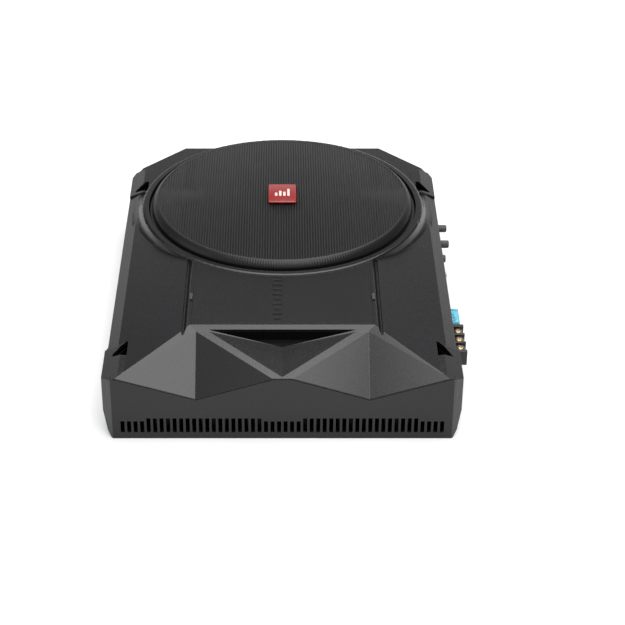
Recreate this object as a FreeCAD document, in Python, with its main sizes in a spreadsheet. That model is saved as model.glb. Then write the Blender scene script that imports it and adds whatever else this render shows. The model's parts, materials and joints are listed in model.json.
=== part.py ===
import FreeCAD, Part
import math
import os
import re

import Sketcher
from FreeCAD import Placement, Rotation, Vector

# A powered car subwoofer: a flat case with a shallow driver at the back, an amplifier at the
# front and its controls along the right-hand side.
# Frame: origin on the floor under the middle of the case, +Z up, -Y the vented front, +X the
# side with the controls. Millimetres.

DIMENSIONS = {
    # case
    "case_width": 250.0,
    "waist_width": 246.4,
    "case_length": 345.0,
    "case_bottom": 0.0,
    "parting_z": 33.5,
    "case_wall": 2.8,
    "side_taper": 5.6,
    "taper_middle": 5.0,
    "taper_top": 20.0,
    "corner_bevel": 6.7,
    "back_width": 246.8,
    "back_edge_width": 163.0,
    "back_corner_y": 131.0,
    "front_block_end": -130.0,
    "back_block_start": 92.0,
    "back_block_end": 124.5,
    # top surface
    "panel_half": 67.2,
    "panel_z": 60.0,
    "groove_z": 57.2,
    "flank_z": 58.6,
    "crease_x": 115.3,
    "crease_z": 50.5,
    "flank_hollow": 0.1,
    "shoulder_z": 45.5,
    "back_z": 50.0,
    # faceted front
    "valley_x": 60.3,
    "nose_half": 6.9,
    "nose_depth": 1.5,
    "facet_lip": 0.7,
    "parting_gap": 0.5,
    "facet_y": -123.1,
    "facet_z": 57.0,
    "facet_apex_x": 61.0,
    "strip_width": 4.1,
    "vent_half": 52.0,
    "vent_back_y": -122.0,
    "vent_tip_y": -134.0,
    "vent_tip_z": 51.0,
    # front slots
    "slot_count": 50,
    "slot_pitch": 4.54,
    "slot_width": 2.8,
    "slot_bottom": 5.0,
    "slot_height": 12.0,
    "slot_step": 2.5,
    # corner pockets and mounting holes
    "pocket_x": 108.5,
    "pocket_width": 10.6,
    "front_pocket_y": -145.5,
    "back_pocket_y": 94.0,
    "front_pocket_length": 18.0,
    "back_pocket_length": 16.5,
    "mount_x": 112.0,
    "mount_front_y": -140.5,
    "mount_back_y": 100.5,
    "mount_radius": 2.6,
    # driver
    "driver_y": 58.6,
    "recess_radius": 105.2,
    "recess_z": 50.0,
    "opening_radius": 92.0,
    "collar_z": 60.5,
    "flange_radius": 101.0,
    "flange_bottom": 51.6,
    "flange_top": 54.0,
    "driver_screw_circle": 97.0,
    "cone_radius": 78.0,
    "cone_edge_z": 53.0,
    "neck_radius": 18.2,
    "neck_z": 37.6,
    "magnet_radius": 52.0,
    "yoke_bottom": 7.0,
    "magnet_bottom": 11.3,
    "magnet_top": 22.3,
    "top_plate_top": 27.3,
    "pole_radius": 17.0,
    "grille_radius": 102.4,
    "grille_top": 70.0,
    "grille_wall": 1.8,
    "grille_edge": 4.1,
    "rib_pitch": 2.0,
    "rib_gap": 0.9,
    "badge_width": 22.0,
    "badge_length": 29.0,
    "badge_y": 53.6,
    "bar_pitch": 3.2,
    "bar_width": 2.0,
    # amplifier
    "board_z": 13.0,
    "board_thickness": 1.6,
    "board_front": -147.0,
    "board_back": -66.0,
    "board_width": 196.0,
    "fin_pitch": 8.0,
    "fin_thickness": 1.6,
    # side controls
    "window_front": -122.0,
    "window_back": 84.0,
    "window_bottom": 19.6,
    "window_top": 32.0,
    "plate_inner": 121.4,
    "plate_outer": 123.0,
    "control_z": 26.0,
    "knob_z": 26.6,
    "level_y": 76.5,
    "crossover_y": 51.5,
    "bass_y": 28.9,
    "led_y": 19.0,
    "switch_y": 7.0,
    "input_y": -14.0,
    "jack_y": -37.0,
    "jack_pitch": 12.0,
    "fuse_y": -59.5,
    "fuse_z": 27.2,
    "terminal_y": -99.0,
    "terminal_pitch": 10.8,
    "block_bottom": 24.4,
    "block_top": 35.8,
    "block_end": 132.4,
    "screw_x": 128.1,
    "shaft_radius": 1.5,
}

AXIS_TURNS = {
    "x": Rotation(Vector(0, 1, 0), 90),
    "y": Rotation(Vector(1, 0, 0), -90),
    "z": Rotation(),
}

doc = FreeCAD.newDocument("powered_subwoofer")
dims = doc.addObject("Spreadsheet::Sheet", "dims")
for row, (alias, number) in enumerate(DIMENSIONS.items(), start=1):
    dims.set("A%d" % row, alias)
    dims.set("B%d" % row, str(number))
    dims.setAlias("B%d" % row, alias)
doc.recompute()

nodes = []


# ---------------------------------------------------------------- helpers

def formula(text):
    """Turns each word of a formula into a reference to the sheet's cell of that name."""
    return re.sub(r"[a-z][a-z_]+", lambda word: "dims." + word.group(), str(text))


def value(text):
    """The number that a formula gives now."""
    number = dims.evalExpression(formula(text))
    return float(getattr(number, "Value", number))


def unique_name(name):
    """A document name that no object has yet."""
    if doc.getObject(name) is None:
        return name
    return doc.getObject(name).Name + "_%d" % len(doc.Objects)


def place(item, x, y, z, turn=None):
    """Binds an object's base point to three formulas and turns it."""
    item.Placement = Placement(Vector(), turn or Rotation())
    for letter, text in zip("xyz", (x, y, z)):
        item.setExpression("Placement.Base." + letter, formula(text))


def box(name, x, y, z, length, width, height):
    """A block from its lowest corner."""
    item = doc.addObject("Part::Box", unique_name(name))
    for size, text in (("Length", length), ("Width", width), ("Height", height)):
        item.setExpression(size, formula(text))
    place(item, x, y, z)
    return item


def centred_box(name, x, y, z, length, width, height):
    """A block from the middle of its footprint."""
    return box(name, f"{x} - ({length}) / 2", f"{y} - ({width}) / 2", z, length, width, height)


def cylinder(name, x, y, z, radius, height, axis="z"):
    """A cylinder from the middle of its low end."""
    item = doc.addObject("Part::Cylinder", unique_name(name))
    item.setExpression("Radius", formula(radius))
    item.setExpression("Height", formula(height))
    place(item, x, y, z, AXIS_TURNS[axis])
    return item


def cut(name, base, tool):
    """The base without the tool."""
    item = doc.addObject("Part::Cut", unique_name(name))
    item.Base = base
    item.Tool = tool
    return item


def fuse(name, shapes):
    """Several shapes as one solid."""
    item = doc.addObject("Part::MultiFuse", unique_name(name))
    item.Shapes = shapes
    return item


def common(name, shapes):
    """What several shapes share."""
    item = doc.addObject("Part::MultiCommon", unique_name(name))
    item.Shapes = shapes
    return item


def group(name, shapes):
    """Several separate solids kept together."""
    item = doc.addObject("Part::Compound", unique_name(name))
    item.Links = shapes
    return item


def ring(name, x, y, z, outer, inner, height, axis="z"):
    """A round tube."""
    return cut(
        name,
        cylinder(name + "_outside", x, y, z, outer, height, axis),
        cylinder(name + "_inside", x, y, z, inner, height, axis),
    )


def holes(name, base, tools):
    """The base with several tools cut out of it."""
    return cut(name, base, group(name + "_tools", tools))


def faceted(name, points, faces):
    """A solid from flat faces, each a list of point names."""
    shells = []
    for face in faces:
        corners = [points[corner] for corner in face]
        shells.append(Part.Face(Part.makePolygon(corners + corners[:1])))
    item = doc.addObject("Part::Feature", unique_name(name))
    item.Shape = Part.Solid(Part.Shell(shells))
    if item.Shape.Volume < 0:
        item.Shape = item.Shape.reversed()
    return item


def arc_through(start, middle, end):
    """An arc through three points, turned anticlockwise as sketches need."""
    circle = Part.Arc(start, middle, end).toShape().Curve
    centre = Vector(circle.Center)
    angles = []
    for point in (start, middle, end):
        spoke = point - centre
        angles.append(math.atan2(spoke.y, spoke.x) % (2 * math.pi))
    first, between, last = angles
    anticlockwise = (between - first) % (2 * math.pi) < (last - first) % (2 * math.pi)
    if not anticlockwise:
        first, last = last, first
    full = Part.Circle(centre, Vector(0, 0, 1), (start - centre).Length)
    return Part.ArcOfCircle(full, first, last)


def polygon_sketch(sketch, corners):
    """Draws a closed outline. A corner is an (x, y) pair of formulas, and a third value that
    reads "via" makes it the middle of an arc between its neighbours."""
    vertices = [corner for corner in corners if len(corner) == 2]
    points = [Vector(value(x), value(y), 0) for x, y in vertices]
    count = len(points)
    index = 0
    for position, corner in enumerate(corners):
        if len(corner) == 3:
            continue
        start = points[index]
        end = points[(index + 1) % count]
        following = corners[(position + 1) % len(corners)]
        if len(following) == 3:
            middle = Vector(value(following[0]), value(following[1]), 0)
            sketch.addGeometry(arc_through(start, middle, end))
        else:
            sketch.addGeometry(Part.LineSegment(start, end))
        index += 1
    ends = []
    for number in range(count):
        edge = sketch.Geometry[number]
        forwards = (edge.StartPoint - points[number]).Length < 1e-6
        ends.append((1, 2) if forwards else (2, 1))
    for number in range(count):
        after = (number + 1) % count
        sketch.addConstraint(
            Sketcher.Constraint("Coincident", number, ends[number][1], after, ends[after][0])
        )
    for number, (x, y) in enumerate(vertices):
        pin(sketch, number, ends[number][0], "DistanceX", x, -2)
        pin(sketch, number, ends[number][0], "DistanceY", y, -1)


def pin(sketch, edge, end, kind, text, axis):
    """Ties one coordinate of a vertex to a formula."""
    number = value(text)
    if abs(number) < 1e-9:
        sketch.addConstraint(Sketcher.Constraint("PointOnObject", edge, end, axis))
        return
    if number > 0:
        constraint = Sketcher.Constraint(kind, -1, 1, edge, end, number)
        bound = formula(text)
    else:
        constraint = Sketcher.Constraint(kind, edge, end, -1, 1, -number)
        bound = "-(" + formula(text) + ")"
    place_in_list = sketch.addConstraint(constraint)
    sketch.setExpression("Constraints[%d]" % place_in_list, bound)


def dome_point(rim, low, high):
    """The point halfway out on a dome whose centre lies on the axis, for a "via" corner."""
    reach = value(rim)
    rise = value(high) - value(low)
    sphere = (reach ** 2 + rise ** 2) / (2 * rise)
    drop = sphere - math.sqrt(sphere ** 2 - (reach / 2) ** 2)
    return (f"{reach / 2:.12f}", f"{high} - {drop:.12f}", "via")


def body_sketch(body, role, corners):
    """A sketch on one of a body's own origin planes."""
    sketch = body.newObject("Sketcher::SketchObject", body.Name + "_sketch")
    plane = [item for item in body.Origin.OriginFeatures if item.Role == role][0]
    sketch.AttachmentSupport = [(plane, "")]
    sketch.MapMode = "FlatFace"
    polygon_sketch(sketch, corners)
    return sketch


def revolved(name, corners, x="0", y="0", z="0"):
    """A body turned about a vertical axis from an outline of radii and heights."""
    body = doc.addObject("PartDesign::Body", unique_name(name))
    sketch = body_sketch(body, "XZ_Plane", corners)
    feature = body.newObject("PartDesign::Revolution", body.Name + "_turn")
    feature.Profile = sketch
    feature.ReferenceAxis = (sketch, ["V_Axis"])
    feature.Angle = 360
    place(body, x, y, z)
    return body


def bar(name, corners, start, length):
    """A body with the same XZ outline all along Y, from start towards the back."""
    body = doc.addObject("PartDesign::Body", unique_name(name))
    sketch = body_sketch(body, "XZ_Plane", corners)
    feature = body.newObject("PartDesign::Pad", body.Name + "_pad")
    feature.Profile = sketch
    feature.setExpression("Length", formula(length))
    feature.Reversed = True
    place(body, "0", start, "0")
    return body


def plate(name, corners, z, height):
    """A body with the same XY outline from z upwards."""
    body = doc.addObject("PartDesign::Body", unique_name(name))
    sketch = body_sketch(body, "XY_Plane", corners)
    feature = body.newObject("PartDesign::Pad", body.Name + "_pad")
    feature.Profile = sketch
    feature.setExpression("Length", formula(height))
    place(body, "0", "0", z)
    return body


def keep(item, label):
    """Marks a finished sub-part and gives it the name of its file."""
    item.Label = label
    nodes.append(item)
    return item


def around(count, radius, offset=0.0):
    """Evenly spaced points on a circle about the driver's axis, as formulas."""
    for number in range(count):
        angle = math.radians(offset + 360.0 * number / count)
        yield f"{radius} * {math.cos(angle):.6f}", f"driver_y + {radius} * {math.sin(angle):.6f}"


# ---------------------------------------------------------------- case

def mirrored(corners):
    """A right-hand half outline, front to back, closed by its mirror image."""
    left = [(f"-({corner[0]})",) + tuple(corner[1:]) for corner in reversed(corners)]
    return corners + left


def plan_corners(inset, taper):
    """The case from above, moved in by an inset all round and by the taper at the sides."""
    side = f"case_width / 2 - {inset} - {taper}"
    waist = f"waist_width / 2 - {inset} - {taper}"
    front = f"{inset} - case_length / 2"
    rear = f"back_width / 2 - {inset} - {taper}"
    back = f"case_length / 2 - {inset} - {taper}"
    return mirrored([
        (f"{side} - corner_bevel + {taper}", front),
        (side, f"{front} + corner_bevel - {taper}"),
        (side, "front_block_end"),
        (waist, "front_block_end + 3"),
        (waist, "back_block_start - 3"),
        (rear, "back_block_start"),
        (rear, f"back_block_end - 0.4 * ({inset})"),
        (f"{rear} - 2.9", f"back_corner_y - 0.5 * ({inset})"),
        (f"back_edge_width / 2 - 0.4 * ({inset})", back),
    ])


def plan_solid(name, inset, low):
    """The case's outline as a solid: tapered up to taper_top, then upright."""
    sections = []
    for level, taper in (
        (low, "side_taper"),
        ("taper_middle", "side_taper / 2"),
        ("taper_top", "0"),
    ):
        sketch = doc.addObject("Sketcher::SketchObject", unique_name(name + "_section"))
        polygon_sketch(sketch, plan_corners(inset, taper))
        place(sketch, "0", "0", level)
        sections.append(sketch)
    lower = doc.addObject("Part::Loft", unique_name(name + "_lower"))
    lower.Sections = sections
    lower.Solid = True
    lower.Ruled = True
    upper = plate(name + "_upper", plan_corners(inset, "0"), "taper_top", "90")
    return fuse(name, [lower, upper])


def front_section():
    """The raised panel, its groove and the hollowed flank, as an XZ outline."""
    return mirrored([
        ("waist_width / 2 + 3", "0"),
        ("waist_width / 2 + 3", "shoulder_z - 1.5"),
        ("crease_x", "crease_z"),
        ("(crease_x + panel_half + 4) / 2", "(crease_z + flank_z) / 2 - flank_hollow", "via"),
        ("panel_half + 4", "flank_z"),
        ("panel_half + 3.6", "groove_z"),
        ("panel_half + 2.4", "groove_z"),
        ("panel_half", "panel_z"),
    ])


def back_section():
    """The lower top surface behind the driver's middle, as an XZ outline."""
    return mirrored([
        ("waist_width / 2 + 3", "0"),
        ("waist_width / 2 + 3", "shoulder_z - 1.5"),
        ("crease_x", "back_z"),
    ])


def corner_block(name, side, start, length):
    """A raised block at one corner of the case."""
    item = bar(name, [
        (f"{side} * 106", "40"),
        (f"{side} * (case_width / 2 + 3)", "40"),
        (f"{side} * (case_width / 2 + 3)", "shoulder_z - 0.2"),
        (f"{side} * 113", "crease_z + 1.1"),
        (f"{side} * 106", "crease_z + 1.1"),
    ], start, length)
    return item


def collar():
    """The smooth ramp that rises to the rim around the grille."""
    return revolved("collar", [
        ("0", "30"),
        ("119", "30"),
        ("119", "back_z - 0.6"),
        ("113.4", "back_z + 2.6", "via"),
        ("110.6", "collar_z - 1.8"),
        ("110", "collar_z - 0.5", "via"),
        ("108.8", "collar_z"),
        ("0", "collar_z"),
    ], y="driver_y")


def front_recess():
    """Cuts the sloping front down from the panel, with a bevelled edge around it."""
    half = value("crease_x")
    front = value("-case_length / 2")
    low = value("crease_z")
    apex_x = value("facet_apex_x")
    apex_y = value("facet_y")
    apex_z = value("facet_z")
    edge_x = value("panel_half - 1.5")
    edge_y = apex_y + value("strip_width")
    edge_z = value("panel_z")
    slope = (apex_z - low) / (apex_y - front)
    ahead = 8.0
    points = {}
    for name, sign in (("l", -1), ("r", 1)):
        points[name + "_ahead"] = Vector(sign * half, front - ahead, low - slope * ahead)
        points[name + "_tip"] = Vector(sign * half, front, low)
        points[name + "_apex"] = Vector(sign * apex_x, apex_y, apex_z)
        points[name + "_edge"] = Vector(sign * edge_x, edge_y, edge_z)
        points[name + "_ahead_top"] = Vector(sign * half, front - ahead, 90)
        points[name + "_tip_top"] = Vector(sign * half, front, 90)
        points[name + "_edge_top"] = Vector(sign * edge_x, edge_y, 90)
    faces = [
        ["l_ahead", "l_tip", "l_apex", "r_apex", "r_tip", "r_ahead"],
        ["l_apex", "l_edge", "r_edge", "r_apex"],
        ["l_edge", "l_edge_top", "r_edge_top", "r_edge"],
        ["l_ahead", "r_ahead", "r_ahead_top", "l_ahead_top"],
        ["l_ahead_top", "l_tip_top", "l_edge_top", "r_edge_top", "r_tip_top", "r_ahead_top"],
    ]
    for name in ("l", "r"):
        faces.append([name + "_tip", name + "_edge", name + "_apex"])
        faces.append([name + "_tip", name + "_tip_top", name + "_edge_top", name + "_edge"])
        faces.append([name + "_ahead", name + "_ahead_top", name + "_tip_top", name + "_tip"])
    return faceted("front_recess", points, faces)


def facet_notch(side):
    """One pair of facets: a notch that runs from the front wall up to the panel."""
    front = value("-case_length / 2")
    low = value("crease_z")
    apex = Vector(side * value("facet_apex_x"), value("facet_y"), value("facet_z"))
    outer = Vector(side * value("crease_x"), front, low)
    inner = Vector(side * value("nose_half"), front, low)
    valley = Vector(side * value("valley_x"), front, value("parting_z"))
    points = {"apex": apex, "outer": outer, "inner": inner, "valley": valley}
    for name in ("outer", "inner", "valley"):
        points[name + "_ahead"] = points[name] + Vector(0, -8, 0)
    for name in ("apex", "outer", "inner", "outer_ahead", "inner_ahead"):
        points[name + "_top"] = Vector(points[name].x, points[name].y, 95)
    return faceted("facet_notch", points, [
        ["outer", "valley", "apex"],
        ["valley", "inner", "apex"],
        ["outer", "apex", "apex_top", "outer_top"],
        ["inner", "inner_top", "apex_top", "apex"],
        ["outer", "outer_top", "outer_ahead_top", "outer_ahead"],
        ["inner", "inner_ahead", "inner_ahead_top", "inner_top"],
        ["outer_ahead", "valley_ahead", "valley", "outer"],
        ["valley_ahead", "inner_ahead", "inner", "valley"],
        ["outer_ahead", "outer_ahead_top", "inner_ahead_top", "inner_ahead", "valley_ahead"],
        ["outer_top", "apex_top", "inner_top", "inner_ahead_top", "outer_ahead_top"],
    ])


def vent_scoop():
    """The shallow valley in the middle of the front that leads to the vent."""
    front = value("-case_length / 2")
    low = value("crease_z")
    half = value("vent_half")
    back = value("facet_y")
    depth = value("nose_depth")
    slope = (value("facet_z") - low) / (back - front)
    points = {
        "nose": Vector(0, front + depth, low + slope * depth),
        "tip": Vector(0, value("vent_tip_y"), value("vent_tip_z")),
        "left": Vector(-half, back, value("facet_z")),
        "right": Vector(half, back, value("facet_z")),
        "top": Vector(0, back, 80),
    }
    return faceted("vent_scoop", points, [
        ["nose", "tip", "left"],
        ["nose", "right", "tip"],
        ["tip", "right", "left"],
        ["nose", "left", "top"],
        ["nose", "top", "right"],
        ["left", "right", "top"],
    ])


def vent_hole(inset, depth):
    """The triangle of the vent as a plug through the skin."""
    return plate("vent_plug", [
        (f"vent_half - {inset} * 3", f"vent_back_y - {inset} * 0.4"),
        (f"-(vent_half - {inset} * 3)", f"vent_back_y - {inset} * 0.4"),
        ("0", f"vent_tip_y + {inset}"),
    ], f"facet_z - {depth}", f"{depth} + 6")


def pocket_corners(side, low_y, length, grow):
    """A corner pocket from above: upright inner side, short front side, slanting outer side."""
    return [
        (f"{side} * (pocket_x - {grow})", f"{low_y} - {grow}"),
        (f"{side} * (pocket_x + pocket_width + {grow})", f"{low_y} + 2 - {grow}"),
        (f"{side} * (pocket_x + pocket_width + {grow})", f"{low_y} + 4"),
        (f"{side} * (pocket_x + 2 + {grow})", f"{low_y} + {length} + {grow}"),
        (f"{side} * (pocket_x - {grow})", f"{low_y} + {length} + {grow}"),
    ]


POCKETS = [
    (side, low_y, length)
    for side in (-1, 1)
    for low_y, length in (
        ("front_pocket_y", "front_pocket_length"),
        ("back_pocket_y", "back_pocket_length"),
    )
]

MOUNT_POINTS = [
    (f"{side} * mount_x", y) for side in (-1, 1) for y in ("mount_front_y", "mount_back_y")
]

COVER_SCREW_POINTS = [
    (f"{side} * {x}", y) for side in (-1, 1) for x, y in ((104, "-112"), (104, "-20"), (96, "138"))
]


def case_hull():
    """The whole outside of the case as one block."""
    blocks = []
    for side in (-1, 1):
        front = "-case_length / 2 - 2"
        blocks.append(corner_block("front_block", side, front, "case_length / 2 + front_block_end"))
        blocks.append(
            corner_block("back_block", side, "back_block_start", "back_corner_y - back_block_start")
        )
    body = fuse("case_body", [
        bar("front_bar", front_section(), "-case_length / 2 - 4", "case_length / 2 + 4 + driver_y"),
        bar("back_bar", back_section(), "0", "case_length / 2 + 4"),
        collar(),
    ] + blocks)
    outline = plan_solid("case_plan", "0", "case_bottom")
    trimmed = common("case_trimmed", [body, outline])
    carved = holes("case_carved", trimmed, [
        front_recess(),
        facet_notch(-1),
        facet_notch(1),
    ])
    return cut("case_hull", carved, vent_scoop())


def lowered_copy(hull, drop):
    """The hull again, lower by the thickness of the top skin."""
    item = doc.addObject("Part::Compound", "case_lowered")
    item.Links = [hull]
    place(item, "0", "0", drop)
    return item


def case_cavity(hull):
    """The room inside the case, clear of the thick ring around the driver."""
    inside = common("cavity_block", [
        lowered_copy(hull, "-3.0"),
        plan_solid("cavity_plan", "case_wall", "case_bottom + 1"),
        box("cavity_floor", "-150", "-200", "case_bottom + 2.4", "300", "400", "80"),
    ])
    return cut("cavity", inside, cylinder("rim_block", "0", "driver_y", "recess_z - 3.5", "111", "40"))


def slot_tools():
    """The row of upright slots in the front wall, lower at the middle and at both ends."""
    tools = []
    count = int(value("slot_count"))
    for number in range(count):
        offset = number - (count - 1) / 2
        distance = abs(offset) * value("slot_pitch")
        short = distance < 14 or distance > 97
        height = "slot_height - slot_step" if short else "slot_height"
        x = f"{offset} * slot_pitch"
        tools.append(
            centred_box("slot", x, "-case_length / 2", "slot_bottom", "slot_width", "12", height)
        )
    return tools


def front_wall(name, drop):
    """The zone of the front wall up to the facets' zigzag edge, lowered by a drop."""
    high = f"crease_z - ({drop})"
    low = f"parting_z - ({drop})"
    return bar(name, mirrored([
        ("case_width / 2 + 3", "0"),
        ("case_width / 2 + 3", high),
        ("crease_x", high),
        ("valley_x", low),
        ("nose_half", high),
    ]), "-200", "200 - case_length / 2 + case_wall")


def base_tray(hull, cavity):
    """The lower shell with the front wall, the slots, the control window and the screw posts."""
    low = box("tray_low", "-150", "case_wall - case_length / 2", "0", "300", "400", "parting_z")
    nose = front_wall("tray_nose", "facet_lip + parting_gap")
    shell = cut("tray_shell", common("tray_block", [hull, fuse("tray_zone", [low, nose])]), cavity)
    posts = [
        cylinder("mount_post", x, y, "case_bottom", "5.4", "8.5") for x, y in MOUNT_POINTS
    ] + [
        cylinder("screw_post", x, y, "case_bottom", "3.6", "27.9") for x, y in COVER_SCREW_POINTS
    ]
    posts = common("tray_posts", [group("post_group", posts), hull])
    window = box(
        "window", "118", "window_front", "window_bottom",
        "10", "window_back - window_front", "window_top - window_bottom",
    )
    rebate = gasket_ring("gasket_rebate")
    tools = slot_tools() + [window, rebate]
    for x, y in MOUNT_POINTS:
        tools.append(cylinder("mount_bore", x, y, "0", "mount_radius", "14"))
    for x, y in COVER_SCREW_POINTS:
        tools.append(cylinder("screw_bore", x, y, "0", "1.65", "40"))
        tools.append(cylinder("screw_sink", x, y, "0", "3.1", "case_bottom + 2"))
    return keep(holes("tray", fuse("tray_whole", [shell, posts]), tools), "base_tray")


def gasket_ring(name):
    """The seal between the shells, round the sides and the back."""
    outer = plate(name + "_outer", plan_corners("0.9", "0"), "parting_z - 1.2", "1.2")
    inner = plate(name + "_inner", plan_corners("2.0", "0"), "parting_z - 1.2", "1.2")
    front = box(name + "_front", "-150", "-200", "20", "300", "203.5 - case_length / 2", "30")
    return holes(name, outer, [inner, front])


def top_cover(hull, cavity):
    """The upper shell with the faceted front, the panel seat and the driver's opening."""
    main = box("cover_main", "-150", "case_wall - case_length / 2", "parting_z", "300", "400", "80")
    front = box("cover_front", "-150", "-200", "20", "300", "200 - case_length / 2 + case_wall", "60")
    lip = cut("cover_lip", front, front_wall("cover_lip_limit", "facet_lip"))
    zone = fuse("cover_zone", [main, lip])
    shell = cut("cover_shell", common("cover_block", [hull, zone]), cavity)
    bosses = group("cover_bosses", [
        ring("cover_boss", x, y, "case_bottom + 28", "3.6", "1.25", "19")
        for x, y in COVER_SCREW_POINTS
    ])
    bosses = common("cover_bosses_trimmed", [bosses, lowered_copy_of_zone(hull)])
    tools = [
        cylinder("grille_recess", "0", "driver_y", "recess_z", "recess_radius", "30"),
        cylinder("driver_opening", "0", "driver_y", "20", "opening_radius", "60"),
        vent_hole("0", "9"),
        panel_block("panel_seat", "0"),
    ]
    for side, low_y, length in POCKETS:
        tools.append(plate("pocket", pocket_corners(side, low_y, length, "0"), "20", "60"))
    for x, y in around(8, "driver_screw_circle", 22.5):
        tools.append(cylinder("driver_pilot", x, y, "40", "1.6", "20"))
    return keep(holes("cover", fuse("cover_whole", [shell, bosses]), tools), "top_cover")


def lowered_copy_of_zone(hull):
    """The hull without its outermost millimetre, for trimming what joins the top skin."""
    item = doc.addObject("Part::Compound", "case_lowered_slightly")
    item.Links = [hull]
    place(item, "0", "0", "-1")
    return item


def panel_block(name, inset):
    """The flat centre panel, cut round where it meets the collar."""
    slab = box(
        name + "_slab", f"{inset} - panel_half + 2.5", f"facet_y + strip_width + 1.2 + {inset}",
        "panel_z - 1.6 + " + inset,
        f"2 * (panel_half - 2.5 - {inset})", f"driver_y - facet_y - 60 - {inset}", "1.6",
    )
    clear = cylinder(name + "_round", "0", "driver_y", "panel_z - 9", f"112 + {inset}", "20")
    return cut(name, slab, clear)


def centre_panel():
    """The panel with two small clip tabs and a row of plain bars sunk into it."""
    panel = panel_block("panel_plate", "0.15")
    marks = []
    for number in range(10):
        y = f"-112.5 + {number} * 6.6"
        length = "7.2" if number % 2 else "5.6"
        marks.append(centred_box("mark", "-3.5", y, "panel_z - 0.5", length, "3.4", "2"))
    return keep(holes("panel", panel, marks), "centre_panel")


def panel_clips():
    """The two small tabs on the panel's side bevels."""
    clips = [
        centred_box("clip", f"{side} * (panel_half - 1.2)", "-82", "panel_z + 0.02", "2", "8", "0.9")
        for side in (-1, 1)
    ]
    return keep(group("clips", clips), "panel_clips")


def vent_liner(hull):
    """The dark cup that closes the vent from inside, just under the skin's edge."""
    outer = vent_hole("0.2", "8.6")
    inner = vent_hole("1", "7.6")
    hollow = cut("liner_cup", outer, inner)
    return keep(common("liner", [hollow, lowered_copy_of_zone(hull)]), "vent_liner")


def mounting_sleeves():
    """The four upright tubes between the pockets and the tray's mounting posts."""
    sleeves = []
    for side, low_y, length in POCKETS:
        outer = plate("sleeve_outer", pocket_corners(side, low_y, length, "1.0"), "21", "24.4")
        inner = plate("sleeve_inner", pocket_corners(side, low_y, length, "0.1"), "20", "30")
        sleeves.append(cut("sleeve", outer, inner))
    return keep(group("sleeves", sleeves), "mounting_sleeves")


def cover_screws():
    """Six screws that hold the shells together from below."""
    screws = []
    for x, y in COVER_SCREW_POINTS:
        head = cylinder("cover_screw_head", x, y, "case_bottom + 0.3", "2.9", "1.7")
        shank = cylinder("cover_screw_shank", x, y, "case_bottom + 1.5", "1.2", "34")
        socket = cylinder("cover_screw_socket", x, y, "0", "1.1", "case_bottom + 1.1")
        screws.append(cut("cover_screw", fuse("cover_screw_body", [head, shank]), socket))
    return keep(group("cover_screw_set", screws), "cover_screws")


# ---------------------------------------------------------------- grille and badge

def grille_profile():
    """The crowned cap's outline, outside and then inside."""
    return [
        ("0", "grille_top"),
        dome_point("grille_radius - grille_edge", "grille_top - 4.1", "grille_top"),
        ("grille_radius - grille_edge", "grille_top - 4.1"),
        ("grille_radius - 1.3", "grille_top - 5.9", "via"),
        ("grille_radius", "grille_top - 8.9"),
        ("grille_radius", "grille_top - 12.4"),
        ("grille_radius - grille_wall", "grille_top - 12.4"),
        ("grille_radius - grille_wall", "grille_top - 9.2"),
        ("grille_radius - 2.8", "grille_top - 7.0", "via"),
        ("grille_radius - grille_edge - 0.8", "grille_top - 5.9"),
        dome_point("grille_radius - grille_edge - 0.8", "grille_top - 5.9", "grille_top - grille_wall"),
        ("0", "grille_top - grille_wall"),
    ]


def grille():
    """The crowned cap with long slots from front to back, crossed by three stays."""
    cap = revolved("grille_cap", grille_profile(), y="driver_y")
    rows = []
    count = 2 * int(value("(grille_radius - 6) / rib_pitch")) + 1
    for number in range(count):
        x = f"{number - count // 2} * rib_pitch"
        rows.append(centred_box("rib_gap_box", x, "driver_y", "grille_top - 8", "rib_gap", "200", "12"))
    stays = [
        centred_box("stay", "0", f"driver_y + {y}", "grille_top - 10", "220", "3", "20")
        for y in (-50, 0, 50)
    ]
    disc = cylinder("grille_field", "0", "driver_y", "grille_top - 10", "grille_radius - 5.4", "16")
    field = common("slot_field", [group("rib_gaps", rows), disc])
    tool = cut("slot_pattern", field, group("stays", stays))
    return keep(cut("grille_slotted", cap, tool), "grille")


def grille_ring():
    """The skirt that carries the cap in the collar."""
    return keep(revolved("skirt", [
        ("grille_radius + 0.2", "recess_z"),
        ("grille_radius + 2.2", "recess_z"),
        ("grille_radius + 2.2", "grille_top - 13.2"),
        ("grille_radius + 1.9", "grille_top - 12.6", "via"),
        ("grille_radius + 1.2", "grille_top - 12.3"),
        ("grille_radius + 0.2", "grille_top - 12.5"),
        ("grille_radius - 2.2", "grille_top - 12.5"),
        ("grille_radius - 2.2", "grille_top - 14"),
        ("grille_radius + 0.2", "grille_top - 14"),
    ], y="driver_y"), "grille_ring")


def badge():
    """A plain plate on the grille with four upright bars of different lengths on it."""
    block = centred_box(
        "badge_block", "0", "badge_y", "grille_top + 0.05", "badge_width", "badge_length", "2"
    )
    keep(block, "badge_plate")
    bars = [
        box("badge_bar", f"{column} * bar_pitch - bar_width / 2", "badge_y - 5.5",
            "grille_top + 2.05", "bar_width", length, "0.5")
        for column, length in zip((-1.5, -0.5, 0.5, 1.5), ("5", "8", "6.5", "11"))
    ]
    keep(group("badge_bars", bars), "badge_mark")


# ---------------------------------------------------------------- driver

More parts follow.
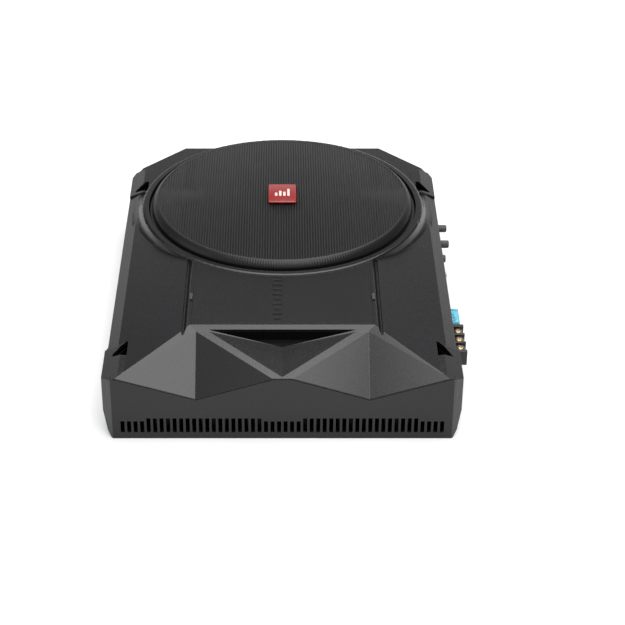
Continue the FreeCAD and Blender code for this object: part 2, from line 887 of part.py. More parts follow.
def driver_basket():
    """The pressed frame with six windows."""
    frame = revolved("basket_frame", [
        ("25", "top_plate_top"),
        ("54", "top_plate_top"),
        ("86.2", "41.5"),
        ("86.2", "flange_bottom"),
        ("flange_radius", "flange_bottom"),
        ("flange_radius", "flange_top"),
        ("84", "flange_top"),
        ("84", "43.3"),
        ("52.5", "33"),
        ("46", "33"),
        ("46", "top_plate_top + 2.5"),
        ("25", "top_plate_top + 2.5"),
    ], y="driver_y")
    tools = []
    for number in range(6):
        window = box("basket_window", "0", "0", "30", "24", "36", "14")
        angle = 60.0 * number + 30.0
        reach = Rotation(Vector(0, 0, 1), angle).multVec(Vector(57, -18, 0))
        place(window, f"{reach.x:.4f}", f"driver_y + ({reach.y:.4f})", "30",
              Rotation(Vector(0, 0, 1), angle))
        tools.append(window)
    for x, y in around(8, "driver_screw_circle", 22.5):
        tools.append(cylinder("flange_hole", x, y, "50", "1.8", "10"))
    return keep(holes("basket", frame, tools), "driver_basket")


def driver_gasket():
    """The foam ring under the driver's flange."""
    foam = ring(
        "foam", "0", "driver_y", "recess_z", "flange_radius", "opening_radius",
        "flange_bottom - recess_z",
    )
    tools = [
        cylinder("foam_hole", x, y, "45", "1.8", "10")
        for x, y in around(8, "driver_screw_circle", 22.5)
    ]
    return keep(holes("foam_ring", foam, tools), "driver_gasket")


def driver_screws():
    """Eight pan-head screws around the flange."""
    screws = []
    for x, y in around(8, "driver_screw_circle", 22.5):
        head = cylinder("driver_screw_head", x, y, "flange_top", "3", "1.8")
        shank = cylinder("driver_screw_shank", x, y, "recess_z - 5", "1.5", "flange_top - recess_z + 5.5")
        socket = cylinder("driver_screw_socket", x, y, "flange_top + 0.8", "1.2", "3")
        screws.append(cut("driver_screw", fuse("driver_screw_body", [head, shank]), socket))
    return keep(group("driver_screw_set", screws), "driver_screws")


def motor():
    """The yoke with its pole, the magnet ring and the top plate."""
    keep(revolved("yoke", [
        ("5", "yoke_bottom"),
        ("48", "yoke_bottom"),
        ("48", "magnet_bottom"),
        ("pole_radius", "magnet_bottom"),
        ("pole_radius", "top_plate_top"),
        ("5", "top_plate_top"),
    ], y="driver_y"), "pole_piece")
    keep(ring("magnet_ring", "0", "driver_y", "magnet_bottom", "magnet_radius", "24",
              "magnet_top - magnet_bottom"), "magnet")
    keep(ring("plate_ring", "0", "driver_y", "magnet_top", "50", "19.2",
              "top_plate_top - magnet_top"), "top_plate")


def moving_assembly():
    """The cone with its dust cap, coil former and coil."""
    keep(ring("former", "0", "driver_y", "19.5", "17.9", "17.5", "20.5"), "voice_coil_former")
    keep(ring("coil", "0", "driver_y", "20.5", "18.7", "17.95", "8.5"), "voice_coil")
    keep(revolved("cone_shell", [
        ("neck_radius", "neck_z"),
        ("50", "neck_z + 6.9", "via"),
        ("cone_radius", "cone_edge_z - 0.4"),
        ("cone_radius", "cone_edge_z + 0.6"),
        ("50", "neck_z + 8", "via"),
        ("neck_radius", "neck_z + 1.2"),
    ], y="driver_y"), "cone")
    keep(revolved("cap_dome", [
        ("30", "neck_z + 5.2"),
        dome_point("30", "neck_z + 5.2", "neck_z + 13"),
        ("0", "neck_z + 13"),
        ("0", "neck_z + 12"),
        dome_point("28.4", "neck_z + 5.2", "neck_z + 12"),
        ("28.4", "neck_z + 5.2"),
    ], y="driver_y"), "dust_cap")


def suspension():
    """The rubber surround and the cloth spider."""
    keep(revolved("surround_roll", [
        ("77.5", "cone_edge_z + 0.9"),
        ("79.2", "cone_edge_z + 0.9"),
        ("85.8", "flange_top + 6.6", "via"),
        ("92.4", "flange_top + 0.1"),
        ("93.8", "flange_top + 0.1"),
        ("93.8", "flange_top + 1"),
        ("93.2", "flange_top + 1"),
        ("85.8", "flange_top + 7.5", "via"),
        ("78.4", "cone_edge_z + 1.8"),
        ("77.5", "cone_edge_z + 1.8"),
    ], y="driver_y"), "surround")
    keep(ring("spider_cloth", "0", "driver_y", "33.1", "50", "18.9", "0.9"), "spider")


def driver_terminals():
    """The small board with two lugs on the side of the basket."""
    base = box("terminal_board", "-14", "driver_y - 90.5", "36", "28", "2", "9")
    lugs = [
        box("lug", f"{side} * 7 - 2", "driver_y - 96", "40", "4", "5.5", "0.9") for side in (-1, 1)
    ]
    arm = box("terminal_arm", "-6", "driver_y - 88.6", "43.4", "12", "2.2", "1.6")
    return keep(fuse("driver_terminal_set", [base, arm] + lugs), "driver_terminals")


def wire(name, points, radius):
    """A round wire through a few points, smoothed into one curve."""
    path = Part.BSplineCurve()
    path.interpolate([Vector(*point) for point in points])
    edge = path.toShape()
    start = edge.valueAt(edge.FirstParameter)
    tangent = edge.tangentAt(edge.FirstParameter)
    profile = Part.Wire(Part.Circle(start, tangent, radius).toShape())
    item = doc.addObject("Part::Feature", unique_name(name))
    item.Shape = Part.Wire(edge).makePipeShell([profile], True, False)
    return item


def wires():
    """Two braided leads to the cone and two insulated wires from the amplifier."""
    middle = value("driver_y")
    leads = []
    cables = []
    for side in (-1, 1):
        leads.append(wire("lead", [
            (side * 7, middle - 87.2, 38.5),
            (side * 7.5, middle - 76, 35.8),
            (side * 8, middle - 64, 41),
            (side * 8, middle - 58, 46.2),
        ], 0.8))
        cables.append(wire("speaker_wire", [
            (side * 7, middle - 96.8, 40.4),
            (side * 7.5, middle - 104, 36),
            (side * 8, middle - 114, 22),
            (side * 8, middle - 128, 17.5),
        ], 1.3))
    keep(group("lead_pair", leads), "lead_wires")
    keep(group("speaker_wire_pair", cables), "speaker_wires")


# ---------------------------------------------------------------- amplifier

def heat_sink():
    """The finned plate behind the front slots, with posts that carry the board."""
    base = box("sink_base", "-98", "-167", "case_bottom + 2.5", "196", "101", "2.6")
    fins = []
    for number in range(25):
        x = f"{number - 12} * fin_pitch"
        fins.append(centred_box("fin", x, "-158.5", "case_bottom + 4", "fin_thickness", "15", "12"))
    wall = box("sink_wall", "-98", "-152", "case_bottom + 4", "196", "3", "20")
    posts = [
        ring("sink_post", x, y, "case_bottom + 4", "3.4", "1.5", "board_z - case_bottom - 4")
        for x, y in BOARD_SCREW_POINTS
    ]
    return keep(fuse("sink", [base, wall] + fins + posts), "heat_sink")


BOARD_SCREW_POINTS = [
    (f"{side} * 92", y) for side in (-1, 1) for y in ("-140", "-72")
]


def circuit_board():
    """The amplifier's board."""
    board = centred_box(
        "board", "0", "(board_front + board_back) / 2", "board_z",
        "board_width", "board_back - board_front", "board_thickness",
    )
    tools = [
        cylinder("board_hole", x, y, "0", "1.7", "40") for x, y in BOARD_SCREW_POINTS
    ]
    keep(holes("board_drilled", board, tools), "circuit_board")
    screws = []
    for x, y in BOARD_SCREW_POINTS:
        head = cylinder("board_screw_head", x, y, "board_z + board_thickness", "2.8", "1.8")
        shank = cylinder("board_screw_shank", x, y, "board_z - 5", "1.4", "board_thickness + 5.5")
        screws.append(fuse("board_screw", [head, shank]))
    keep(group("board_screw_set", screws), "board_screws")


def board_components():
    """Transistors on the sink, reservoir capacitors, the power transformer and chips."""
    top = "board_z + board_thickness"
    transistors = [
        centred_box("transistor", f"{x}", "-146.6", top, "10.4", "4.6", "9")
        for x in (-75, -45, -15, 15, 45, 75)
    ]
    keep(group("transistor_set", transistors), "power_transistors")
    capacitors = [
        cylinder("capacitor", str(x), y, top, "8", "20")
        for x, y in ((-78, "-98"), (-58, "-98"), (-38, "-98"), (72, "-124"))
    ]
    keep(group("capacitor_set", capacitors), "capacitors")
    keep(ring("toroid", "30", "-100", top, "18", "8", "13"), "transformer")
    chips = [
        centred_box("chip", str(x), y, top, "12", "8", "2")
        for x, y in ((-10, "-120"), (10, "-132"), (62, "-88"), (84, "-100"))
    ]
    keep(group("chip_set", chips), "control_chips")


# ---------------------------------------------------------------- side controls

KNOBS = (
    ("level", "level_y", "3.0", "132.6"),
    ("crossover", "crossover_y", "3.1", "132.6"),
    ("bass", "bass_y", "3.1", "128.3"),
)


def control_panel():
    """The plate in the tray's window, with an opening for each control."""
    slab = box(
        "panel_strip", "plate_inner", "window_front + 0.2", "window_bottom + 0.2",
        "plate_outer - plate_inner", "window_back - window_front - 0.4",
        "window_top - window_bottom - 0.4",
    )
    tools = [
        cylinder("shaft_hole", "110", y, "knob_z", "shaft_radius + 0.4", "20", "x")
        for _, y, _, _ in KNOBS
    ]
    tools.append(cylinder("led_hole", "110", "led_y", "control_z", "1.6", "20", "x"))
    tools.append(box("switch_hole", "110", "switch_y - 4", "control_z - 1.8", "20", "8", "3.6"))
    tools.append(box("input_hole", "110", "input_y - 8.2", "window_bottom + 0.8", "20", "16.4", "10.8"))
    for side in (-1, 1):
        y = f"jack_y + {side} * jack_pitch / 2"
        tools.append(cylinder("jack_hole", "110", y, "control_z", "5.2", "20", "x"))
    tools.append(box("fuse_hole", "110", "fuse_y - 11.7", "window_bottom + 0.8", "20", "23.4", "10.8"))
    tools.append(
        box("terminal_hole", "110", "terminal_y - 18.4", "window_bottom + 0.4", "20", "36.8", "11.6")
    )
    return keep(holes("control_strip", slab, tools), "control_panel")


def potentiometers():
    """The three turning controls behind the plate."""
    pots = []
    for name, y, _, _ in KNOBS:
        case = box(name + "_pot", "112", f"{y} - 5", "knob_z - 5.6", "9.3", "10", "10")
        bore = cylinder(name + "_bore", "110", y, "knob_z", "shaft_radius + 0.05", "20", "x")
        pots.append(cut(name + "_pot_body", case, bore))
    return keep(group("pot_set", pots), "potentiometers")


def knobs():
    """Three knobs, each one piece with its shaft and with a pointer groove."""
    for name, y, radius, end in KNOBS:
        shaft = cylinder(name + "_shaft", "113", y, "knob_z", "shaft_radius", "12", "x")
        grip = cylinder(name + "_grip", "124.2", y, "knob_z", radius, f"{end} - 124.2", "x")
        groove = centred_box(name + "_groove", end, f"{y}", "knob_z", "1.2", "0.8", "4")
        keep(cut(name + "_knob_body", fuse(name + "_turned", [shaft, grip]), groove), name + "_knob")


def switch_and_light():
    """The phase switch with its slider, and the status light."""
    case = box("switch_case", "113", "switch_y - 6", "control_z - 3.5", "8.3", "12", "7")
    slot = box("switch_slot", "117", "switch_y - 3.5", "control_z - 1.4", "6", "7", "2.8")
    keep(cut("switch_housing", case, slot), "phase_switch")
    slider = box("slider", "117.4", "switch_y - 3.3", "control_z - 1.2", "10.1", "3.2", "2.4")
    keep(slider, "phase_slider")
    keep(cylinder("led", "116", "led_y", "control_z", "1.5", "9", "x"), "status_light")


def input_socket():
    """The speaker-level input: a square hollow with four pins."""
    case = box("input_case", "110", "input_y - 8", "window_bottom + 1", "13.2", "16", "10.4")
    hollow = box("input_hollow", "113.6", "input_y - 6.6", "window_bottom + 2.4", "20", "13.2", "7.6")
    keep(cut("input_shell", case, hollow), "input_socket")
    pins = [
        box("input_pin", "113.7", f"input_y - 4.9 + {number} * 3", "control_z - 0.4", "4.2", "0.8", "0.8")
        for number in range(4)
    ]
    keep(group("input_pin_set", pins), "input_pins")


def signal_jacks():
    """The pair of round signal jacks: metal shells with plastic inserts."""
    shells = []
    inserts = []
    for side in (-1, 1):
        y = f"jack_y + {side} * jack_pitch / 2"
        shells.append(ring("jack_shell", "112", y, "control_z", "4.15", "3.5", "11.6", "x"))
        inserts.append(ring("jack_insert", "112", y, "control_z", "3.45", "1.6", "11.2", "x"))
    keep(group("jack_shell_set", shells), "jack_shells")
    keep(group("jack_insert_set", inserts), "jack_inserts")


def fuse_parts():
    """The holder and the blade fuse that pulls out of it."""
    case = box("fuse_case", "109", "fuse_y - 11.5", "window_bottom + 1", "14.2", "23", "10.4")
    well = box("fuse_well", "119.3", "fuse_y - 9.8", "fuse_z - 2.9", "10", "19.6", "5.8")
    slots = [
        centred_box("blade_slot", "116", f"fuse_y + {side} * 5.5", "fuse_z - 0.55", "9", "5.5", "1.1")
        for side in (-1, 1)
    ]
    keep(holes("fuse_block", case, [well] + slots), "fuse_holder")
    cap = box("fuse_cap", "119.6", "fuse_y - 9.5", "fuse_z - 2.6", "11.7", "19", "5.2")
    reliefs = [
        box("fuse_relief", "118", "fuse_y - 5.5", "fuse_z - 4 + " + z, "9.7", "11", "2.4")
        for z in ("0", "5.6")
    ]
    keep(holes("fuse_moulding", cap, reliefs), "fuse_body")
    blades = [
        centred_box("blade", "116.1", f"fuse_y + {side} * 5.5", "fuse_z - 0.35", "6.9", "5.1", "0.7")
        for side in (-1, 1)
    ]
    keep(group("blade_pair", blades), "fuse_blades")


def terminals():
    """The barrier block with three clamps, each with a screw and the plate it presses down."""
    inner = box(
        "block_inner", "112", "terminal_y - 18.2", "window_bottom + 0.6", "11.8", "36.4", "11.2",
    )
    outer = box(
        "block_outer", "123.4", "terminal_y - 18.2", "block_bottom",
        "block_end - 123.4", "36.4", "block_top - block_bottom",
    )
    rows = [f"terminal_y + {number} * terminal_pitch" for number in (-1, 0, 1)]
    bays = [box("bay", "124.4", f"{y} - 4.3", "block_bottom + 0.8", "12", "8.6", "16") for y in rows]
    keep(holes("block", fuse("block_body", [inner, outer]), bays), "terminal_block")
    clamps = []
    for y in rows:
        clamp = box("clamp", "124.6", f"{y} - 4.1", "block_bottom + 0.9", "7", "8.2", "6.7")
        cavity = box("clamp_cavity", "124", f"{y} - 2.9", "block_bottom + 1.5", "10", "5.8", "5")
        bore = cylinder("clamp_bore", "screw_x", y, "block_bottom + 4", "2", "6")
        clamps.append(holes("clamp_block", clamp, [cavity, bore]))
    keep(group("clamp_set", clamps), "terminal_clamps")
    for number, y in enumerate(rows, start=1):
        pressure = centred_box("pressure_plate", "screw_x", y, "block_bottom + 5.75", "5", "5.4", "0.7")
        keep(pressure, f"pressure_plate_{number}")
        shank = cylinder("screw_shank", "screw_x", y, "block_bottom + 6.48", "1.93", "3.4")
        head = cylinder("screw_head", "screw_x", y, "block_top - 1.95", "3.2", "1.9")
        cross = [
            centred_box("screw_cross", "screw_x", y, "block_top - 1", length, width, "3")
            for length, width in (("4.2", "0.9"), ("0.9", "4.2"))
        ]
        keep(holes("screw_cut", fuse("screw", [shank, head]), cross), f"terminal_screw_{number}")


# ---------------------------------------------------------------- assembly and export

def build():
    """Makes every sub-part."""
    hull = case_hull()
    cavity = case_cavity(hull)
    base_tray(hull, cavity)
    top_cover(hull, cavity)
    keep(gasket_ring("seal"), "case_gasket")
    centre_panel()
    panel_clips()
    vent_liner(hull)
    mounting_sleeves()
    cover_screws()
    grille()
    grille_ring()
    badge()
    driver_basket()
    driver_gasket()
    driver_screws()
    motor()
    moving_assembly()
    suspension()
    driver_terminals()
    wires()
    heat_sink()
    circuit_board()
    board_components()
    control_panel()
    potentiometers()
    knobs()
    switch_and_light()
    input_socket()
    signal_jacks()
    fuse_parts()
    terminals()


def check_and_export():
    """Stops on any feature that failed, then writes one STEP file per sub-part."""
    failed = [
        item.Name for item in doc.Objects
        if "Invalid" in item.State or "Error" in item.State
    ]
    if failed:
        raise RuntimeError("features that failed: " + ", ".join(failed))
    os.makedirs("parts", exist_ok=True)
    for item in nodes:
        if item.Shape.isNull() or not item.Shape.isValid() or not item.Shape.Solids:
            raise RuntimeError("bad shape: " + item.Label)
        item.Shape.exportStep("parts/" + item.Label + ".step")
    print(len(nodes), "parts written")


build()
doc.recompute()
check_and_export()
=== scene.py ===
import json
import math

import bmesh
import bpy
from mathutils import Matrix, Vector


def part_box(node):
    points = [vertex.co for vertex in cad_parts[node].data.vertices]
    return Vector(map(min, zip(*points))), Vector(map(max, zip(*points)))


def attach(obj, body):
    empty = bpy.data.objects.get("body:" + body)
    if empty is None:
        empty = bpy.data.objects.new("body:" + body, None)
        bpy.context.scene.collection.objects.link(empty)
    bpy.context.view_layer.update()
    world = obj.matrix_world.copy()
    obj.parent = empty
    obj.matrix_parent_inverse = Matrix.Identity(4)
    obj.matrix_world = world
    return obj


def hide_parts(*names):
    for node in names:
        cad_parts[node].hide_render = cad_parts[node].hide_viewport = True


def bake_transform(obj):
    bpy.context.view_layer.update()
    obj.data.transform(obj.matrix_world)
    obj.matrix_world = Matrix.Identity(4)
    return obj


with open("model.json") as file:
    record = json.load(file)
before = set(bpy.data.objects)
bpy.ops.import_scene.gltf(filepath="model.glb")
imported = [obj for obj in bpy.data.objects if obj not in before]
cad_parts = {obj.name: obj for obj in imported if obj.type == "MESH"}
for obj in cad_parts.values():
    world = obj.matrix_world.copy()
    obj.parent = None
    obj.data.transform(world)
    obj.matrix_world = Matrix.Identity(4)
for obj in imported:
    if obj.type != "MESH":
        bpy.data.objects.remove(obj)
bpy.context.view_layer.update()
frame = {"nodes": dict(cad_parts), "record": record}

MM = 0.001
WELD_DISTANCE = 0.001 * MM
NODES = frame["nodes"]
DRIVER_X, DRIVER_Y = (sum(pair) / 2 for pair in zip(*[(p.x, p.y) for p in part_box("grille")]))


# ---------------------------------------------------------------- node helpers

def make(tree, kind, **settings):
    """A new shader node with its properties and unlinked inputs set."""
    node = tree.nodes.new(kind)
    for key, value in settings.items():
        if hasattr(node, key):
            setattr(node, key, value)
        else:
            node.inputs[key.replace("_", " ")].default_value = value
    return node


def blank_material(name):
    """A material with only its Principled shader."""
    material = bpy.data.materials.new(name)
    material.use_nodes = True
    tree = material.node_tree
    return material, tree, tree.nodes["Principled BSDF"]


def noise(tree, scale, detail=3.0, stretch=None):
    """Noise over the object's own coordinates, in cycles per metre."""
    coords = make(tree, "ShaderNodeTexCoord")
    texture = make(tree, "ShaderNodeTexNoise", Scale=scale, Detail=detail)
    if stretch is None:
        tree.links.new(coords.outputs["Object"], texture.inputs["Vector"])
    else:
        mapping = make(tree, "ShaderNodeMapping", Scale=stretch)
        tree.links.new(coords.outputs["Object"], mapping.inputs["Vector"])
        tree.links.new(mapping.outputs["Vector"], texture.inputs["Vector"])
    return texture.outputs["Fac"]


def remap(tree, value, low, high, source=(0.3, 0.7)):
    """The value stretched from one range to another."""
    node = make(tree, "ShaderNodeMapRange", From_Min=source[0], From_Max=source[1],
                To_Min=low, To_Max=high)
    tree.links.new(value, node.inputs["Value"])
    return node.outputs["Result"]


def mix(tree, factor, first, second):
    """Two colours mixed. Each is a colour or another node's output."""
    node = make(tree, "ShaderNodeMix", data_type="RGBA")
    tree.links.new(factor, node.inputs["Factor"])
    for socket, colour in ((node.inputs[6], first), (node.inputs[7], second)):
        if isinstance(colour, bpy.types.NodeSocket):
            tree.links.new(colour, socket)
        else:
            socket.default_value = (*colour, 1.0)
    return node.outputs[2]


def rounded_normal(tree, radius):
    """The surface's normal with its hard edges rounded over."""
    node = make(tree, "ShaderNodeBevel", samples=6, Radius=radius)
    return node.outputs["Normal"]


def edge_mask(tree, soft_normal):
    """How near a sharp edge the surface is, from 0 to 1."""
    geometry = make(tree, "ShaderNodeNewGeometry")
    dot = make(tree, "ShaderNodeVectorMath", operation="DOT_PRODUCT")
    tree.links.new(soft_normal, dot.inputs[0])
    tree.links.new(geometry.outputs["Normal"], dot.inputs[1])
    return remap(tree, dot.outputs["Value"], 0.0, 1.0, (0.995, 0.86))


def bumped(tree, shader, height, depth, soft_normal=None):
    """Gives the shader a bump from a height."""
    bump = make(tree, "ShaderNodeBump", Distance=depth)
    tree.links.new(height, bump.inputs["Height"])
    if soft_normal is not None:
        tree.links.new(soft_normal, bump.inputs["Normal"])
    tree.links.new(bump.outputs["Normal"], shader.inputs["Normal"])


def shade(colour, factor):
    """A colour made lighter or darker."""
    return tuple(min(1.0, part * factor) for part in colour)


# ---------------------------------------------------------------- materials

def moulded(name, colour, roughness, grain=0.35, depth=0.02, edge=0.5, edge_wear_and_highlight=1.7, specular=0.5):
    """Moulded plastic: fine grain, faint flow variation and edges made lighter, partly as wear and
    partly as a painted highlight.
    """
    material, tree, shader = blank_material(name)
    fine = noise(tree, 1000.0 / grain, 2.0)
    broad = noise(tree, 22.0, 4.0)
    base = mix(tree, remap(tree, broad, 0.0, 1.0), shade(colour, 0.9), shade(colour, 1.1))
    soft = rounded_normal(tree, edge * MM)
    # Edges mixed towards a lighter colour: partly edge wear, partly a painted highlight where rounded
    # edges catch light.
    worn_and_highlit = mix(tree, edge_mask(tree, soft), base, shade(colour, edge_wear_and_highlight))
    tree.links.new(worn_and_highlit, shader.inputs["Base Color"])
    tree.links.new(remap(tree, fine, roughness - 0.04, roughness + 0.05), shader.inputs["Roughness"])
    shader.inputs["Specular IOR Level"].default_value = specular
    bumped(tree, shader, fine, depth * MM, soft)
    return material


def metal(name, colour, roughness, stretch=(1.0, 1.0, 1.0), scale=900.0, depth=0.01, tint=None):
    """Bare or plated metal with fine tool marks and a slight stain."""
    material, tree, shader = blank_material(name)
    marks = noise(tree, scale, 3.0, stretch)
    stain = noise(tree, 60.0, 3.0)
    base = mix(tree, remap(tree, stain, 0.0, 1.0), colour, tint or shade(colour, 0.78))
    tree.links.new(base, shader.inputs["Base Color"])
    tree.links.new(remap(tree, marks, roughness - 0.07, roughness + 0.1), shader.inputs["Roughness"])
    shader.inputs["Metallic"].default_value = 1.0
    bumped(tree, shader, marks, depth * MM, rounded_normal(tree, 0.2 * MM))
    return material


def powder_coat(name, colour, roughness):
    """Black powder coat: a slight orange peel over steel."""
    material, tree, shader = blank_material(name)
    peel = noise(tree, 1500.0, 2.0)
    broad = noise(tree, 30.0, 3.0)
    base = mix(tree, remap(tree, broad, 0.0, 1.0), shade(colour, 0.88), shade(colour, 1.12))
    tree.links.new(base, shader.inputs["Base Color"])
    tree.links.new(remap(tree, peel, roughness - 0.05, roughness + 0.06), shader.inputs["Roughness"])
    shader.inputs["Specular IOR Level"].default_value = 0.3
    bumped(tree, shader, peel, 0.03 * MM)
    return material


def rubber(name, colour):
    """Soft black rubber with a dusty, uneven sheen."""
    material, tree, shader = blank_material(name)
    dust = noise(tree, 90.0, 5.0)
    base = mix(tree, remap(tree, dust, 0.0, 1.0), colour, shade(colour, 1.5))
    tree.links.new(base, shader.inputs["Base Color"])
    tree.links.new(remap(tree, dust, 0.6, 0.78), shader.inputs["Roughness"])
    bumped(tree, shader, noise(tree, 1800.0, 2.0), 0.02 * MM)
    return material


def fibrous(name, colour, scale=700.0, roughness=0.85):
    """Pressed pulp or treated cloth."""
    material, tree, shader = blank_material(name)
    fibre = noise(tree, scale, 6.0)
    base = mix(tree, remap(tree, fibre, 0.0, 1.0), shade(colour, 0.7), shade(colour, 1.25))
    tree.links.new(base, shader.inputs["Base Color"])
    tree.links.new(remap(tree, fibre, roughness - 0.08, roughness + 0.08), shader.inputs["Roughness"])
    bumped(tree, shader, fibre, 0.12 * MM)
    return material


def tinted_clear(name, colour):
    """Clear tinted plastic with a few faint flow lines."""
    roughness = 0.12
    material, tree, shader = blank_material(name)
    flow = noise(tree, 60.0, 1.0, (1.0, 0.3, 1.0))
    base = mix(tree, remap(tree, flow, 0.0, 1.0), shade(colour, 0.95), shade(colour, 1.08))
    tree.links.new(base, shader.inputs["Base Color"])
    tree.links.new(remap(tree, flow, roughness - 0.03, roughness + 0.04), shader.inputs["Roughness"])
    shader.inputs["Transmission Weight"].default_value = 0.75
    shader.inputs["IOR"].default_value = 1.49
    bumped(tree, shader, flow, 0.005 * MM, rounded_normal(tree, 0.3 * MM))
    return material


def solder_mask(name):
    """A circuit board: green mask with lighter copper runs beneath it."""
    material, tree, shader = blank_material(name)
    coords = make(tree, "ShaderNodeTexCoord")
    runs = make(tree, "ShaderNodeTexBrick", Scale=90.0, Mortar_Size=0.03, Brick_Width=0.9)
    tree.links.new(coords.outputs["Object"], runs.inputs["Vector"])
    base = mix(tree, runs.outputs["Fac"], (0.006, 0.07, 0.03), (0.02, 0.17, 0.07))
    tree.links.new(base, shader.inputs["Base Color"])
    tree.links.new(remap(tree, noise(tree, 400.0), 0.25, 0.38), shader.inputs["Roughness"])
    bumped(tree, shader, runs.outputs["Fac"], 0.03 * MM)
    return material


MATERIALS = {
    "case_plastic": lambda name: moulded(name, (0.0055, 0.0055, 0.0062), 0.26, specular=0.4),
    "panel_plastic": lambda name: moulded(name, (0.0055, 0.0055, 0.006), 0.26, edge=0.35, specular=0.4),
    # Near-black, matte and barely reflective: the vent's pocket is darkened as painted shade for the
    # deep shadow inside the vent.
    "vent_plastic": lambda name: moulded(name, (0.002, 0.002, 0.002), 0.8, specular=0.1),
    "gasket_foam": lambda name: rubber(name, (0.01, 0.01, 0.01)),
    "grille_steel": lambda name: powder_coat(name, (0.006, 0.006, 0.0066), 0.38),
    "grille_plastic": lambda name: moulded(name, (0.008, 0.008, 0.0085), 0.45),
    # The badge's lighter edges are mostly a painted highlight along its bevel, with a little wear.
    "badge_red": lambda name: moulded(name, (0.21, 0.009, 0.008), 0.3, depth=0.004, edge_wear_and_highlight=1.5),
    "badge_white": lambda name: moulded(name, (0.62, 0.5, 0.47), 0.35, depth=0.004, edge_wear_and_highlight=1.0),
    "basket_steel": lambda name: powder_coat(name, (0.012, 0.012, 0.012), 0.4),
    "ferrite": lambda name: fibrous(name, (0.05, 0.05, 0.055), 1200.0, 0.6),
    "zinc_steel": lambda name: metal(name, (0.55, 0.55, 0.57), 0.32),
    "screw_steel": lambda name: metal(name, (0.08, 0.08, 0.085), 0.35),
    "former_foil": lambda name: metal(name, (0.7, 0.7, 0.72), 0.3),
    "copper_coil": lambda name: metal(name, (0.6, 0.2, 0.08), 0.35, (1.0, 1.0, 12.0), 1500.0, 0.05),
    "cone_paper": lambda name: fibrous(name, (0.025, 0.025, 0.026)),
    "surround_rubber": lambda name: rubber(name, (0.012, 0.012, 0.012)),
    "spider_cloth": lambda name: fibrous(name, (0.45, 0.3, 0.1), 1500.0),
    "lead_braid": lambda name: metal(name, (0.6, 0.4, 0.25), 0.4, (4.0, 4.0, 1.0), 2500.0, 0.1),
    "wire_red": lambda name: rubber(name, (0.3, 0.01, 0.01)),
    "board_green": solder_mask,
    "sink_aluminium": lambda name: metal(name, (0.02, 0.02, 0.021), 0.45, (1.0, 0.05, 1.0)),
    "component_black": lambda name: moulded(name, (0.012, 0.012, 0.013), 0.5),
    "capacitor_sleeve": lambda name: moulded(name, (0.02, 0.035, 0.12), 0.3),
    "ferrite_green": lambda name: moulded(name, (0.03, 0.18, 0.08), 0.35),
    "socket_black": lambda name: moulded(name, (0.012, 0.012, 0.0125), 0.45, edge=0.3),
    "knob_grey": lambda name: moulded(name, (0.02, 0.02, 0.021), 0.42, edge=0.25),
    "slider_white": lambda name: moulded(name, (0.5, 0.5, 0.48), 0.4, edge=0.2, edge_wear_and_highlight=1.1),
    "light_lens": lambda name: tinted_clear(name, (0.15, 0.35, 0.8)),
    "tin_plate": lambda name: metal(name, (0.62, 0.62, 0.6), 0.3),
    "jack_nickel": lambda name: metal(name, (0.66, 0.63, 0.56), 0.22),
    "fuse_blue": lambda name: tinted_clear(name, (0.22, 0.66, 0.84)),
    "terminal_brass": lambda name: metal(name, (0.4, 0.31, 0.21), 0.4, tint=(0.28, 0.2, 0.13)),
}
made_materials = {}


def material(slot):
    """The finished material of a slot, made once."""
    if slot not in made_materials:
        made_materials[slot] = MATERIALS[slot](slot)
    return made_materials[slot]


def dress_cad_nodes():
    """Gives every CAD node its slot's material."""
    for entry in frame["record"]["subparts"]:
        item = NODES[entry["node"]]
        item.data.materials.clear()
        item.data.materials.append(material(entry["material_slot"]))


# ---------------------------------------------------------------- mesh helpers

def placed(name, data):
    """A new object, put in the scene."""
    item = bpy.data.objects.new(name, data)
    bpy.context.scene.collection.objects.link(item)
    return item


def evaluated(item):
    """The bmesh of an object as its modifiers or its curve make it."""
    graph = bpy.context.evaluated_depsgraph_get()
    data = bpy.data.meshes.new_from_object(item.evaluated_get(graph))
    mesh = bmesh.new()
    mesh.from_mesh(data)
    bpy.data.meshes.remove(data)
    return mesh


def loose_piece(name, mesh, slot, stands_for=(), smooth=None):
    """Turns a bmesh into an object with its finish, which doesn't ride on anything yet."""
    data = bpy.data.meshes.new(name)
    bmesh.ops.recalc_face_normals(mesh, faces=mesh.faces)
    mesh.to_mesh(data)
    mesh.free()
    item = placed(name, data)
    data.materials.append(material(slot))
    for polygon in data.polygons:
        polygon.use_smooth = True
    if smooth is not None:
        data.set_sharp_from_angle(angle=math.radians(smooth))
    if stands_for:
        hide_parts(*stands_for)
    return item


def piece(name, mesh, slot, body, stands_for=(), smooth=None):
    """A finished piece that rides on one body."""
    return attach(loose_piece(name, mesh, slot, stands_for, smooth), body)


def join_sections(mesh, sections, closed=False):
    """Faces from each ring of vertices to the next, and from the last to the first if closed."""
    followers = sections[1:] + sections[:1] if closed else sections[1:]
    for first, second in zip(sections, followers):
        for corner in range(len(first)):
            after = (corner + 1) % len(first)
            mesh.faces.new((first[corner], first[after], second[after], second[corner]))


def cap_ends(mesh, sections):
    """A face over the first and the last ring of vertices."""
    for section in (sections[0], sections[-1]):
        mesh.faces.new(section)


def turned(profile, segments, place, ripple=None, closed=False):
    """A bmesh turned from (radius, distance) pairs: a ring where the outline is closed, or a
    solid with two end faces. Place maps radius, angle and distance to a point, and ripple
    scales the radius by the angle and the distance."""
    mesh = bmesh.new()
    rings = []
    for radius, distance in profile:
        ring = []
        for step in range(segments):
            angle = 2 * math.pi * step / segments
            reach = radius * (ripple(angle, distance) if ripple else 1.0)
            ring.append(mesh.verts.new(place(reach, angle, distance)))
        rings.append(ring)
    join_sections(mesh, rings, closed)
    if not closed:
        cap_ends(mesh, rings)
    return mesh


